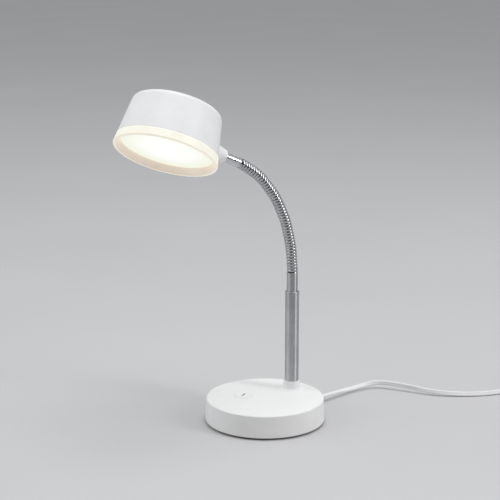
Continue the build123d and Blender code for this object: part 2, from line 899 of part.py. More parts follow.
def coil_point(angle):
    """Point of the coil's middle line, this many radians round it, clockwise from above."""
    radius = coil_inner_r + coil_pitch * abs(angle - half_turns) / (2 * pi)
    climb = min(max((angle - half_turns) / pi + 0.5, 0), 1)
    outwards = -coil_right * cos(angle) + coil_way * sin(angle)
    return coil_middle + outwards * radius + Vector(0, 0, coil_pitch * climb)


def coil_tangent(angle):
    """Unit direction of the coil's middle line."""
    step = 0.01
    return (coil_point(angle + step) - coil_point(angle - step)).normalized()


def arcs_between(start, start_way, end, end_way):
    """Two tangent arcs that leave one point along its direction and arrive at the next along its own."""
    chord = end - start
    ways = start_way + end_way
    slack = 2 * (1 - start_way.dot(end_way))
    reach = (sqrt(chord.dot(ways) ** 2 + slack * chord.dot(chord)) - chord.dot(ways)) / slack
    meeting = (start + end + (start_way - end_way) * reach) / 2
    meeting_way = (end - end_way * reach - start - start_way * reach).normalized()
    TangentArc(start, meeting, tangent=start_way)
    TangentArc(meeting, end, tangent=meeting_way)


quarters = round(coil_turns * coil_steps)
coil_angles = [2 * half_turns * step / quarters for step in range(quarters + 1)]
coil_spots = [coil_point(angle) for angle in coil_angles]
coil_ways = [coil_way] + [coil_tangent(angle) for angle in coil_angles[1:]]
with BuildPart() as cord_coil:
    with BuildLine() as coil_line:
        Line(coil_start, coil_spots[0])
        for step in range(quarters):
            arcs_between(coil_spots[step], coil_ways[step], coil_spots[step + 1], coil_ways[step + 1])
        Line(coil_spots[-1], coil_spots[-1] + coil_ways[-1] * coil_end)
    with BuildSketch(cord_section(coil_start, coil_way)):
        RegularPolygon(cord_r, cord_sides, rotation=180 / cord_sides)
    sweep()
save(cord_coil, "cord_coil")

coil_wire = coil_line.wires()[0]
gap_samples = 800
coil_samples = [coil_wire @ (index / gap_samples) for index in range(gap_samples + 1)]
next_turn = int(pi * coil_inner_r / (coil_wire.length / gap_samples))
least_spacing = min(
    (one - other).length
    for index, one in enumerate(coil_samples)
    for other in coil_samples[index + next_turn:]
)
print("coil length", round(coil_wire.length, 1), "least gap to itself", round(least_spacing - cord_d, 2))

# Tail: from the coil's end down to the plug, which lies flat beyond the coil
plug_axis_z = plug_t / 2
tail_way = coil_ways[-1]
tail_route = [coil_wire @ 1]
tail_route.append(tail_route[-1] + tail_way * tail_run)
drop = plug_axis_z - tail_route[-1].Z
tail_way = tail_way.rotate(Axis.Z, -tail_turn)
tail_route.append(tail_route[-1] + tail_way * tail_run + Vector(0, 0, drop))
tail_way = tail_way.rotate(Axis.Z, -tail_turn)
tail_route.append(tail_route[-1] + tail_way * tail_run)
tail_radii = corner_radii(tail_route)
print("tail radii", [round(radius, 1) for radius in tail_radii])
with BuildPart() as cord_tail:
    with BuildLine():
        tail_path = FilletPolyline(*tail_route, radius=tail_radii)
    with BuildSketch(cord_section(tail_path @ 0, tail_path % 0)):
        RegularPolygon(cord_r, cord_sides, rotation=180 / cord_sides)
    sweep()
save(cord_tail, "cord_tail")
print("cord length", round(free_path.length + coil_wire.length + tail_path.length, 1))

section_area = cord_sides / 2 * cord_r**2 * sin(2 * pi / cord_sides)
for stretch, path in ((power_cord, free_path), (cord_coil, coil_wire), (cord_tail, tail_path)):
    print("volume over section times length", round(stretch.part.volume / (section_area * path.length), 4))

# Plug: a flat two-pin plug, its boot moulded on to the cord's end
plug_frame = Plane(tail_route[-1], x_dir=tail_way, z_dir=(0, 0, 1))
plug_end = plug_boot_l + plug_l
with BuildPart() as plug_body:
    with BuildSketch(plug_frame.offset(-plug_axis_z)):
        with BuildLine():
            Polyline(
                (plug_boot_l, -plug_back_w / 2),
                (plug_boot_l + plug_shoulder, -plug_w / 2),
                (plug_end, -plug_w / 2),
                (plug_end, plug_w / 2),
                (plug_boot_l + plug_shoulder, plug_w / 2),
                (plug_boot_l, plug_back_w / 2),
                close=True,
            )
        make_face()
    extrude(amount=plug_t)
    fillet(plug_body.edges(), plug_edge_r)
    with BuildSketch(Plane(plug_frame.origin, x_dir=plug_frame.x_dir, z_dir=-plug_frame.y_dir)):
        with BuildLine():
            Polyline(
                (0, 0),
                (0, cord_r + plug_boot_end_wall),
                (plug_boot_l + plug_edge_r, plug_boot_r),
                (plug_boot_l + plug_edge_r, 0),
                close=True,
            )
        make_face()
    revolve(axis=Axis(plug_frame.origin, plug_frame.x_dir))
save(plug_body, "plug_body")

with BuildPart() as plug_pins:
    with BuildSketch(Plane(plug_frame.origin, x_dir=plug_frame.y_dir, z_dir=tail_way).offset(plug_end)):
        with Locations((-pin_spacing / 2, 0), (pin_spacing / 2, 0)):
            Circle(pin_r)
    extrude(amount=pin_l)
    pin_tips = plug_pins.faces().sort_by(Axis(plug_frame.origin, tail_way))[-2:]
    fillet(pin_tips.edges(), pin_edge_r)
save(plug_pins, "plug_pins")
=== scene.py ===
import json
from math import cos, pi, radians, sin

import bmesh
import bpy
from mathutils import Matrix, Vector


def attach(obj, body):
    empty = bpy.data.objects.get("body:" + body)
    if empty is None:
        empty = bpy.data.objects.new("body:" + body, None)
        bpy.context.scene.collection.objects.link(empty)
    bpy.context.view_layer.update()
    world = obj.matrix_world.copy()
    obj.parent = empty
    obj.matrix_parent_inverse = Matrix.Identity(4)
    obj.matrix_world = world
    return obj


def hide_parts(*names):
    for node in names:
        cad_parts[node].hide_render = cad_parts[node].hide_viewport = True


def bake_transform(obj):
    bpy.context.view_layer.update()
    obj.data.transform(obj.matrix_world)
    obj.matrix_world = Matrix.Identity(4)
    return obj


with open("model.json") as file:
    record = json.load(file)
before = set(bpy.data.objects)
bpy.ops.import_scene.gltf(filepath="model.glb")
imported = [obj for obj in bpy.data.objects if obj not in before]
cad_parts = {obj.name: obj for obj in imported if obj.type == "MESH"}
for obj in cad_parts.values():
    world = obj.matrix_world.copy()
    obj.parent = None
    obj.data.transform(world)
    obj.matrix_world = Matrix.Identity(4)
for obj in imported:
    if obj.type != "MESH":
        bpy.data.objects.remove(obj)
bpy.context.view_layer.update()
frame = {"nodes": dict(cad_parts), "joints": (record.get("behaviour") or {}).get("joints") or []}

# A white gooseneck desk lamp, lit, on a pale floor. Metres, +Z up, the origin on
# the floor under the middle of the base, the cord leaving towards +Y.

# Fineness of turned pieces, and the edge that most of them share
tube_steps = 96
wide_steps = 192
small_steps = 64
broken_edge_r = 0.0002

# Base, switch and stem: the solids' sizes, with small edges of this script's own
base_h = 0.025
base_top_r = 0.060
base_rim_r = 0.061
base_wall = 0.0025
base_edge_r = 0.0015
base_inner_edge_r = 0.0008
rim_z = 0.002
rim_edge_r = 0.0008
rim_inner_edge_r = 0.0003
fill_border = 0.001
switch_x = -0.0170
switch_y = -0.0143
switch_depth = 0.0065
button_r = 0.0080
button_top = base_h + 0.0009
button_t = 0.0055
button_edge_r = 0.0006
bezel_bore_r = 0.0081
bezel_neck_r = 0.0088
bezel_lip_r = 0.0096
bezel_lip_t = 0.0006
bezel_edge_r = 0.0004
mark_l = 0.0088
mark_w = 0.0011
mark_lift = 0.00004
mark_end_steps = 8
mark_turn = radians(117.0)
stem_r = 0.0072
stem_wall = 0.00145
stem_l = 0.1053
stem_edge_r = 0.0005
stem_y = 0.0375
stem_top = base_h + stem_l
ferrule_r = 0.0057
ferrule_wall = 0.0010
ferrule_shown = 0.0197
ferrule_seat = 0.0120
ferrule_edge_r = 0.0004
collar_h = 0.0100
collar_foot_r = 0.0095
collar_top_r = 0.0079
collar_fit = 0.00015
collar_edge_r = 0.0008
collar_bore_edge_r = 0.0001
gland_z = 0.0062
gland_l = 0.020
gland_r = 0.0040
gland_end_r = 0.0030
gland_edge_r = 0.0005

# The flare of the collar's foot, which the solid doesn't have
collar_flare = 0.0045
collar_flare_h = 0.001125
collar_cove_r = 0.0040

# Neck and head
turn_pitch = 0.00309
link_turns = 3.0
end_turns = 2.5
wire_r = 0.00147
wire_square = 0.6
winding_r = 0.0056
core_r = 0.0042
neck_bend = radians(65.9)
sleeve_r = 0.0051
sleeve_wall = 0.0008
sleeve_shown = 0.0172
sleeve_seat = 0.0080
nozzle_z = 0.02195
nozzle_l = 0.0116
nozzle_end_r = 0.0065
nozzle_wall_r = 0.0095
nozzle_foot = 0.003
nozzle_edge_r = 0.0006
nozzle_foot_edge_r = 0.0010
head_rim_r = 0.0522
head_taper = 0.152
head_h = 0.0512
head_wall = 0.0022
head_edge_r = 0.0054
head_inner_edge_r = 0.0030
head_foot_edge_r = 0.0005
skirt_h = 0.0089
skirt_lip_h = 0.0041
skirt_rim_t = 0.0034
skirt_gap = 0.0001
skirt_rim_edge_r = 0.0009
skirt_inner_edge_r = 0.0006
skirt_seam_edge_r = 0.0004
facet_hair = 0.00002
panel_r = 0.0468
panel_z = 0.0073
panel_t = 0.0020
panel_ledge = 0.0009
ledge_edge_r = 0.0003

# Cord: a flat two-core flex, its route's points with the turn of its width from level
cord_w = 0.0050
cord_t = 0.0032
waist_depth = 0.16
waist_reach = 0.3 * cord_w
core_squareness = 0.55
on_edge = 90
lying_z = cord_w / 2
free_points = [
    (0.0000, 0.1003, gland_z, 0),
    (-0.0020, 0.1323, 0.0034, 35),
    (0.0047, 0.1599, 0.0070, 80),
    (0.0334, 0.1731, 0.0068, 90),
    (0.0664, 0.1851, 0.0042, 75),
    (0.0910, 0.2087, lying_z, 60),
    (0.1081, 0.2351, lying_z, 65),
    (0.1156, 0.2673, lying_z, 80),
    (0.1166, 0.2879, lying_z, 90),
]
coil_inner_r = 0.018
coil_pitch = 0.0055
coil_turns = 8
coil_points = 16
coil_lead = 0.005
tail_run = 0.020
tail_runs = 3
tail_turn = radians(-18.0)
plug_axis_z = 0.00685

# Camera of the photograph
camera_spot = (1.0437, -0.9604, 0.51335)
camera_down = radians(13.263)
camera_round = radians(48)
camera_lens = 105.0
camera_sensor = 36.0


def base_r(z):
    """Outer radius of the base at height z."""
    return base_rim_r + (base_top_r - base_rim_r) * (z - rim_z) / (base_h - rim_z)


def head_r(z):
    """Outer radius of the head at height z above the rim of its skirt."""
    return head_rim_r - head_taper * z


def axes(origin, x, z):
    """A frame from its origin, its X axis and its Z axis."""
    y = z.cross(x)
    turn = Matrix((x, y, z)).transposed().to_4x4()
    return Matrix.Translation(origin) @ turn


# Frames of the lamp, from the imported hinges
hinges = [joint for joint in frame["joints"] if joint["type"] == "hinge"]
hinge_spots = [Vector(joint["pos_m"]) for joint in hinges]
neck_side = Vector(hinges[0]["axis"])
neck_base = Vector((0, stem_y, stem_top + ferrule_shown))
up = Vector((0, 0, 1))
neck_way = Matrix.Rotation(neck_bend, 3, neck_side) @ up
neck_end = hinge_spots[-1] + neck_way * turn_pitch
head_turn = pi / 2 - neck_side.to_2d().angle_signed(Vector((0, -1)))
in_plane = neck_side.cross(neck_way)
light_way = in_plane * cos(head_turn) + neck_side * sin(head_turn)
nozzle_end = head_r(nozzle_z) + nozzle_l
head_reach = nozzle_end + sleeve_shown
rim_middle = neck_end + neck_way * head_reach + light_way * nozzle_z
head_frame = axes(rim_middle, -neck_way, -light_way)
nozzle_frame = axes(rim_middle - light_way * nozzle_z, light_way, -neck_way)
sleeve_frame = axes(neck_end, neck_side, neck_way)
switch_frame = Matrix.Translation((switch_x, switch_y, 0))
stem_frame = Matrix.Translation((0, stem_y, 0))
gland_frame = axes(Vector((0, 0, gland_z)), Vector((1, 0, 0)), Vector((0, 1, 0)))


# Materials


def srgb(red, green, blue):
    """The linear colour that shaders take, from 0 to 255 values on the sRGB curve."""
    channels = []
    for value in (red, green, blue):
        share = value / 255
        low = share / 12.92
        high = ((share + 0.055) / 1.055) ** 2.4
        channels.append(low if share <= 0.04045 else high)
    return (*channels, 1.0)


def new_material(name, metallic=0.0, **inputs):
    """An empty principled material, its node tree and its shader."""
    material = bpy.data.materials.new(name)
    material.use_nodes = True
    tree = material.node_tree
    shader = tree.nodes["Principled BSDF"]
    shader.inputs["Metallic"].default_value = metallic
    for socket, value in inputs.items():
        shader.inputs[socket.replace("_", " ")].default_value = value
    return material, tree, shader


def noise(tree, size, detail=3.0, stretch=(1, 1, 1)):
    """Noise with grains about size metres across, drawn out along the axes by stretch."""
    place = tree.nodes.new("ShaderNodeTexCoord")
    mapping = tree.nodes.new("ShaderNodeMapping")
    texture = tree.nodes.new("ShaderNodeTexNoise")
    mapping.inputs["Scale"].default_value = [1 / share for share in stretch]
    texture.inputs["Scale"].default_value = 1 / size
    texture.inputs["Detail"].default_value = detail
    tree.links.new(place.outputs["Object"], mapping.inputs["Vector"])
    tree.links.new(mapping.outputs["Vector"], texture.inputs["Vector"])
    return texture.outputs["Fac"]


def span(tree, value, low, high, start=0.3, end=0.7):
    """Maps a value from start..end on to low..high."""
    node = tree.nodes.new("ShaderNodeMapRange")
    node.inputs["From Min"].default_value = start
    node.inputs["From Max"].default_value = end
    node.inputs["To Min"].default_value = low
    node.inputs["To Max"].default_value = high
    tree.links.new(value, node.inputs["Value"])
    return node.outputs["Result"]


def ramp(tree, value, stops):
    """A colour from a value, through (place, colour) stops."""
    node = tree.nodes.new("ShaderNodeValToRGB")
    elements = node.color_ramp.elements
    while len(elements) < len(stops):
        elements.new(0.5)
    for element, (place, colour) in zip(elements, stops):
        element.position = place
        element.color = colour
    tree.links.new(value, node.inputs["Fac"])
    return node.outputs["Color"]


def two_tone(tree, value, dark, light, margin=0.3):
    """A colour from noise: dark up to margin, light from 1 - margin on, a blend between them."""
    return ramp(tree, value, [(margin, dark), (1 - margin, light)])


def bumps(tree, shader, height, depth):
    """Bumps of this depth in metres from a height value."""
    node = tree.nodes.new("ShaderNodeBump")
    node.inputs["Distance"].default_value = depth
    node.inputs["Strength"].default_value = 0.6
    tree.links.new(height, node.inputs["Height"])
    tree.links.new(node.outputs["Normal"], shader.inputs["Normal"])


def painted(name, dark, light, roughness, grain, depth, **inputs):
    """A moulded or painted surface: faint mottling, uneven gloss and a fine grain."""
    material, tree, shader = new_material(name, **inputs)
    mottle = noise(tree, size=0.012)
    tree.links.new(two_tone(tree, mottle, dark, light), shader.inputs["Base Color"])
    uneven = noise(tree, size=0.004, detail=5.0)
    gloss = span(tree, uneven, low=roughness * 0.92, high=roughness * 1.08)
    tree.links.new(gloss, shader.inputs["Roughness"])
    bumps(tree, shader, noise(tree, size=grain, detail=2.0), depth)
    return material


def metal(name, dark, light, roughness, stretch=(1, 1, 1)):
    """A metal surface with fine grains or streaks, drawn out by stretch."""
    material, tree, shader = new_material(name, metallic=1.0)
    streaks = noise(tree, size=0.0004, detail=4.0, stretch=stretch)
    tones = two_tone(tree, streaks, dark, light, margin=0.35)
    tree.links.new(tones, shader.inputs["Base Color"])
    smears = noise(tree, size=0.006)
    gloss = span(tree, smears, low=roughness * 0.8, high=roughness * 1.3)
    tree.links.new(gloss, shader.inputs["Roughness"])
    bumps(tree, shader, streaks, depth=0.000004)
    return material


def with_axis(tree, frame_of, product):
    """The product of a point's offset from a frame's origin with the frame's Z axis."""
    place = tree.nodes.new("ShaderNodeTexCoord")
    offset = tree.nodes.new("ShaderNodeVectorMath")
    result = tree.nodes.new("ShaderNodeVectorMath")
    offset.operation = "SUBTRACT"
    result.operation = product
    offset.inputs[1].default_value = frame_of.to_translation()
    result.inputs[1].default_value = frame_of.col[2].to_3d()
    tree.links.new(place.outputs["Object"], offset.inputs[0])
    tree.links.new(offset.outputs["Vector"], result.inputs[0])
    return result


def along_axis(tree, frame_of, near, far):
    """How far a point is along a frame's Z axis, 0 at near and 1 at far."""
    height = with_axis(tree, frame_of, "DOT_PRODUCT").outputs["Value"]
    return span(tree, height, low=0.0, high=1.0, start=near, end=far)


def about_axis(tree, frame_of):
    """The way round a frame's Z axis at a point, as long as the point is far from the axis."""
    return with_axis(tree, frame_of, "CROSS_PRODUCT").outputs["Vector"]


def off_axis(tree, frame_of, near, far):
    """How far a point is from a frame's Z axis, 0 at near and 1 at far."""
    distance = tree.nodes.new("ShaderNodeVectorMath")
    distance.operation = "LENGTH"
    tree.links.new(about_axis(tree, frame_of), distance.inputs[0])
    return span(tree, distance.outputs["Value"], low=0.0, high=1.0, start=near, end=far)


def plated(name, frame_of, dark, light, roughness):
    """A plated tube, polished round its axis, so its reflections are drawn out along it."""
    material, tree, shader = new_material(name, metallic=1.0)
    clouds = noise(tree, size=0.02)
    tree.links.new(two_tone(tree, clouds, dark, light), shader.inputs["Base Color"])
    smears = noise(tree, size=0.015)
    gloss = span(tree, smears, low=roughness * 0.9, high=roughness * 1.1)
    tree.links.new(gloss, shader.inputs["Roughness"])
    tree.links.new(about_axis(tree, frame_of), shader.inputs["Tangent"])
    shader.inputs["Anisotropic"].default_value = 0.9
    shader.inputs["Anisotropic Rotation"].default_value = 0.25
    bumps(tree, shader, noise(tree, size=0.01, detail=1.0), depth=0.0000004)
    return material


def mixed(tree, share, one, other):
    """A colour that goes from one to other as share goes from 0 to 1."""
    node = tree.nodes.new("ShaderNodeMix")
    node.data_type = "RGBA"
    colour_one, colour_other, colour_out = 6, 7, 2
    tree.links.new(share, node.inputs["Factor"])
    tree.links.new(one, node.inputs[colour_one])
    tree.links.new(other, node.inputs[colour_other])
    return node.outputs[colour_out]


def glowing_skirt():
    """Cloudy plastic lit from inside: rosy within, cream outside, with a painted highlight as the
    bright band under the housing and painted light on its rim.
    """
    material, tree, shader = new_material("diffuser", Roughness=0.32, IOR=1.49)
    height = along_axis(tree, head_frame, near=0.0, far=skirt_h)
    clouds = noise(tree, size=0.008)
    body = two_tone(tree, clouds, srgb(190, 188, 178), srgb(196, 194, 184))
    tree.links.new(body, shader.inputs["Base Color"])
    # Outer glow by height: the last stop is a painted highlight along the seam under the housing,
    # and the first stop is painted light on the rim's downward face
    outside = ramp(
        tree,
        height,
        [
            (0.0, srgb(201, 195, 181)),
            (0.25, srgb(195, 192, 179)),
            (0.85, srgb(192, 192, 180)),
            (1.0, srgb(216, 218, 210)),
        ],
    )
    inside = ramp(tree, height, [(0.0, srgb(174, 154, 142)), (0.8, srgb(189, 171, 156))])
    inner_wall_r = head_rim_r - skirt_rim_t
    turnover_r = head_rim_r - skirt_rim_t * 0.8
    outer = off_axis(tree, head_frame, near=inner_wall_r, far=turnover_r)
    tree.links.new(mixed(tree, outer, inside, outside), shader.inputs["Emission Color"])
    shader.inputs["Emission Strength"].default_value = 0.8
    shader.inputs["Subsurface Weight"].default_value = 0.3
    shader.inputs["Subsurface Radius"].default_value = (0.004, 0.003, 0.002)
    shader.inputs["Subsurface Scale"].default_value = 1.0
    bumps(tree, shader, noise(tree, size=0.0006, detail=2.0), depth=0.00001)
    return material


def lit_panel():
    """Frosted sheet over the light: white in the middle, creamier towards its edge."""
    material, tree, shader = new_material("frosted_panel", Roughness=0.5)
    frost = two_tone(tree, noise(tree, size=0.02), srgb(112, 112, 110), srgb(118, 118, 116))
    tree.links.new(frost, shader.inputs["Base Color"])
    glow = ramp(
        tree,
        off_axis(tree, head_frame, near=0.0, far=panel_r),
        [(0.0, srgb(240, 241, 240)), (0.55, srgb(237, 238, 233)), (1.0, srgb(222, 225, 206))],
    )
    tree.links.new(glow, shader.inputs["Emission Color"])
    shader.inputs["Emission Strength"].default_value = 1.0
    bumps(tree, shader, noise(tree, size=0.0005, detail=2.0), depth=0.00002)
    return material


def speckled(name, dark, light, roughness, size):
    """A rough cast, moulded or rubber surface with visible grains."""
    material, tree, shader = new_material(name, Roughness=roughness)
    grains = noise(tree, size, detail=6.0)
    tones = two_tone(tree, grains, dark, light, margin=0.35)
    tree.links.new(tones, shader.inputs["Base Color"])
    bumps(tree, shader, grains, depth=size * 0.05)
    return material


white_gloss = painted(
    "white_gloss",
    srgb(230, 230, 230),
    srgb(233, 233, 232),
    roughness=0.36,
    grain=0.0007,
    depth=0.0000012,
    Specular_IOR_Level=0.15,
)
white_satin = painted(
    "white_satin",
    srgb(229, 229, 230),
    srgb(233, 233, 233),
    roughness=0.46,
    grain=0.0007,
    depth=0.000006,
)
white_matte = painted(
    "white_matte",
    srgb(222, 222, 220),
    srgb(229, 229, 227),
    roughness=0.48,
    grain=0.0005,
    depth=0.00001,
)
flex_white = painted(
    "flex_white",
    srgb(224, 224, 224),
    srgb(231, 231, 230),
    roughness=0.38,
    grain=0.0006,
    depth=0.00001,
)
stem_chrome = plated(
    "stem_chrome", stem_frame, srgb(170, 172, 174), srgb(184, 186, 188), roughness=0.3
)
sleeve_chrome = plated(
    "sleeve_chrome", sleeve_frame, srgb(190, 192, 194), srgb(204, 206, 208), roughness=0.2
)
neck_steel = metal(
    "neck_steel", srgb(168, 170, 172), srgb(190, 192, 194), roughness=0.1, stretch=(6, 6, 6)
)
steel = metal("steel", srgb(150, 152, 155), srgb(176, 178, 180), roughness=0.28)
aluminium = metal(
    "aluminium", srgb(186, 188, 190), srgb(206, 208, 210), roughness=0.34, stretch=(20, 1, 1)
)
pin_brass = metal("pin_brass", srgb(188, 186, 176), srgb(208, 205, 194), roughness=0.2)
# Dark core colour: painted shade for the grooves between the winding's turns
painted_groove_shade = metal("painted_groove_shade", srgb(38, 38, 40), srgb(52, 52, 54), roughness=0.4)
cast_iron = speckled(
    "cast_iron", srgb(62, 60, 58), srgb(92, 88, 84), roughness=0.7, size=0.0012
)
rubber_dark = speckled(
    "rubber_dark", srgb(34, 34, 35), srgb(48, 48, 49), roughness=0.8, size=0.0008
)
black_plastic = speckled(
    "black_plastic", srgb(22, 22, 23), srgb(36, 36, 38), roughness=0.5, size=0.0006
)
mark_grey = speckled(
    "mark_grey", srgb(58, 58, 60), srgb(74, 74, 76), roughness=0.5, size=0.0004
)
board_white = speckled(
    "board_white", srgb(226, 226, 222), srgb(236, 236, 232), roughness=0.45, size=0.001
)
chip_yellow = speckled(
    "chip_yellow", srgb(226, 196, 92), srgb(240, 214, 120), roughness=0.4, size=0.0006
)
diffuser = glowing_skirt()
frosted_panel = lit_panel()


# Shapes


def rounded(corners, steps=6, hold_share=0.25):
    """An outline of (radius, height, corner radius) corners, each corner turned into an arc.

    A point held a little beyond each end of an arc keeps the faces beside it evenly shaded.
    """
    outline = []
    for index, (x, y, round_r) in enumerate(corners):
        here = Vector((x, y))
        before = Vector(corners[index - 1][:2]) - here
        after = Vector(corners[(index + 1) % len(corners)][:2]) - here
        if round_r == 0:
            outline.append(here)
            continue
        before.normalize()
        after.normalize()
        half = before.angle(after) / 2
        reach = round_r / abs(sin(half) / cos(half))
        middle = here + (before + after).normalized() * (round_r / sin(half))
        first = here + before * reach - middle
        sweep = first.angle_signed(here + after * reach - middle)
        hold = round_r * hold_share
        outline.append(here + before * (reach + hold))
        for step in range(steps + 1):
            outline.append(middle + Matrix.Rotation(-sweep * step / steps, 2) @ first)
        outline.append(here + after * (reach + hold))
    return outline


def finished(name, mesh_data, material, sharp=35.0):
    """The object of a finished bmesh, smooth but for its sharp edges."""
    bmesh.ops.recalc_face_normals(mesh_data, faces=mesh_data.faces)
    mesh = bpy.data.meshes.new(name)
    mesh_data.to_mesh(mesh)
    mesh_data.free()
    mesh.shade_smooth()
    mesh.set_sharp_from_angle(angle=radians(sharp))
    mesh.materials.append(material)
    piece = bpy.data.objects.new(name, mesh)
    bpy.context.scene.collection.objects.link(piece)
    return piece


def ring(mesh_data, place, radius, height, steps):
    """A ring of points about a frame's Z axis, or one point where the radius is 0."""
    if radius == 0:
        return [mesh_data.verts.new(place @ Vector((0, 0, height)))]
    points = []
    for step in range(steps):
        turn = 2 * pi * step / steps
        spot = place @ Vector((radius * cos(turn), radius * sin(turn), height))
        points.append(mesh_data.verts.new(spot))
    return points


def join_rings(mesh_data, one, other):
    """Faces between two rings, one of which may be a single point."""
    count = max(len(one), len(other))
    for index in range(count):
        following = (index + 1) % count
        corners = [one[index % len(one)], one[following % len(one)]]
        corners += [other[following % len(other)], other[index % len(other)]]
        mesh_data.faces.new(list(dict.fromkeys(corners)))


def turned(name, corners, place, material, steps=tube_steps, closed=True):
    """A solid turned about a frame's Z axis.

    An outline that starts and ends on the axis isn't closed.
    """
    mesh_data = bmesh.new()
    rings = [ring(mesh_data, place, x, y, steps) for x, y in rounded(corners)]
    pairs = list(zip(rings, rings[1:]))
    if closed:
        pairs.append((rings[-1], rings[0]))
    for one, other in pairs:
        join_rings(mesh_data, one, other)
    return finished(name, mesh_data, material)


def edges_of(points):
    """The edges between neighbouring points of a ring."""
    edges = []
    for one, other in zip(points, points[1:] + points[:1]):
        edges.append(next(edge for edge in one.link_edges if other in edge.verts))
    return edges


# Camera at the photograph's place and angle, first of all with the cord


def make_camera():
    """The photograph's view: 13 degrees down from level, 48 degrees round from the front."""
    camera = bpy.data.objects.new("camera", bpy.data.cameras.new("camera"))
    bpy.context.scene.collection.objects.link(camera)
    camera.location = camera_spot
    camera.rotation_euler = (pi / 2 - camera_down, 0, camera_round)
    camera.data.lens = camera_lens
    camera.data.sensor_width = camera_sensor
    bpy.context.scene.camera = camera


def cord_route():
    """The route's points, each with the turn of the flex's width in degrees."""
    route = [(Vector((0, base_r(gland_z) + gland_l, gland_z)), 0)]
    route += [(Vector(point[:3]), point[3]) for point in free_points]
    start = route[-1][0]
    way = (start - route[-2][0]).normalized()
    right = way.cross(up)
    half_turns = pi * coil_turns
    outer_r = coil_inner_r + coil_pitch * coil_turns / 2
    middle = start + way * coil_lead + right * outer_r
    for step in range(coil_turns * coil_points + 1):
        angle = 2 * pi * step / coil_points
        radius = coil_inner_r + coil_pitch * abs(angle - half_turns) / (2 * pi)
        climb = min(max((angle - half_turns) / pi + 0.5, 0), 1)
        outwards = way * sin(angle) - right * cos(angle)
        route.append((middle + outwards * radius + up * coil_pitch * climb, on_edge))
    end = route[-1][0]
    route.append((end + way * coil_lead, on_edge))
    tail_way = way
    point = end + way * coil_lead
    for run in range(tail_runs):
        point = point + tail_way * tail_run
        if run > 0:
            point.z = plug_axis_z
        route.append((point.copy(), on_edge - on_edge // tail_runs * (run + 1)))
        tail_way = Matrix.Rotation(tail_turn, 3, up) @ tail_way
    return route


def flex_profile():
    """Cross-section of the flex: two cores side by side under one skin, slightly waisted."""
    curve = bpy.data.curves.new("flex_profile", "CURVE")
    curve.dimensions = "2D"
    spline = curve.splines.new("POLY")
    points = 28
    spline.points.add(points - 1)
    for index, point in enumerate(spline.points):
        angle = 2 * pi * index / points
        x = cord_w / 2 * cos(angle)
        waist = 1 - waist_depth * max(0.0, 1 - (x / waist_reach) ** 2)
        height = cord_t / 2 * abs(sin(angle)) ** core_squareness * waist
        point.co = (x, height if sin(angle) >= 0 else -height, 0, 1)
    spline.use_cyclic_u = True
    profile = bpy.data.objects.new("flex_profile", curve)
    bpy.context.scene.collection.objects.link(profile)
    profile.hide_render = True
    profile.hide_viewport = True
    return profile


def make_cord():
    """The flex on its whole route, from the gland through the coil to the plug."""
    curve = bpy.data.curves.new("power_flex", "CURVE")
    curve.dimensions = "3D"
    curve.twist_mode = "Z_UP"
    curve.resolution_u = 6
    curve.bevel_mode = "OBJECT"
    curve.bevel_object = flex_profile()
    curve.use_fill_caps = True
    spline = curve.splines.new("NURBS")
    route = cord_route()
    spline.points.add(len(route) - 1)
    for point, (spot, turn) in zip(spline.points, route):
        point.co = (*spot, 1)
        point.tilt = radians(turn)
    spline.order_u = 3
    spline.use_endpoint_u = True
    curve.materials.append(flex_white)
    piece = bpy.data.objects.new("power_flex", curve)
    bpy.context.scene.collection.objects.link(piece)
    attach(piece, "base")
    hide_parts("power_cord", "cord_coil", "cord_tail")


make_camera()
make_cord()


# Base


def make_base():
    """The moulded drum, open below, with the switch's hole in its flat top.

    The flat faces are filled with triangles from a border's width inside the rounded edges.
    """
    mesh_data = bmesh.new()
    still = Matrix.Identity(4)
    corners = [
        (base_top_r - base_wall, base_h - base_wall, base_inner_edge_r),
        (base_rim_r - base_wall, rim_z, rim_inner_edge_r),
        (base_rim_r, rim_z, rim_edge_r),
        (base_top_r, base_h, base_edge_r),
    ]
    start = (base_top_r - base_wall - 3 * fill_border, base_h - base_wall)
    end = (base_top_r - base_edge_r - fill_border, base_h)
    outline = rounded([(*start, 0)] + corners + [(*end, 0)])
    rings = [ring(mesh_data, still, x, y, wide_steps) for x, y in outline]
    for one, other in zip(rings, rings[1:]):
        join_rings(mesh_data, one, other)
    under_z = base_h - base_wall
    under_hole = ring(mesh_data, switch_frame, bezel_neck_r, under_z, small_steps)
    top_hole = ring(mesh_data, switch_frame, bezel_neck_r, base_h, small_steps)
    join_rings(mesh_data, under_hole, top_hole)
    for outer, inner in ((rings[0], under_hole), (rings[-1], top_hole)):
        borders = edges_of(outer) + edges_of(inner)
        bmesh.ops.triangle_fill(mesh_data, edges=borders, use_beauty=True)
    piece = finished("base_shell_body", mesh_data, white_gloss)
    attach(piece, "base")
    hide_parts("base_shell")


def make_switch():
    """The bezel ring and the push button with its short printed mark."""
    floor_z = base_h - switch_depth
    bezel_corners = [
        (bezel_bore_r, floor_z, 0),
        (bezel_neck_r, floor_z, 0),
        (bezel_neck_r, base_h, 0),
        (bezel_lip_r, base_h, 0),
        (bezel_lip_r, base_h + bezel_lip_t, bezel_edge_r),
        (bezel_bore_r, base_h + bezel_lip_t, broken_edge_r),
    ]
    bezel = turned("switch_bezel_ring", bezel_corners, switch_frame, white_gloss)
    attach(bezel, "base")
    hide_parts("switch_bezel")
    button_corners = [
        (0, button_top, 0),
        (button_r, button_top, button_edge_r),
        (button_r, button_top - button_t, 0),
        (0, button_top - button_t, 0),
    ]
    button = turned(
        "switch_button_cap", button_corners, switch_frame, white_gloss, closed=False
    )
    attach(button, "switch_button")
    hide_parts("switch_button")
    make_mark()


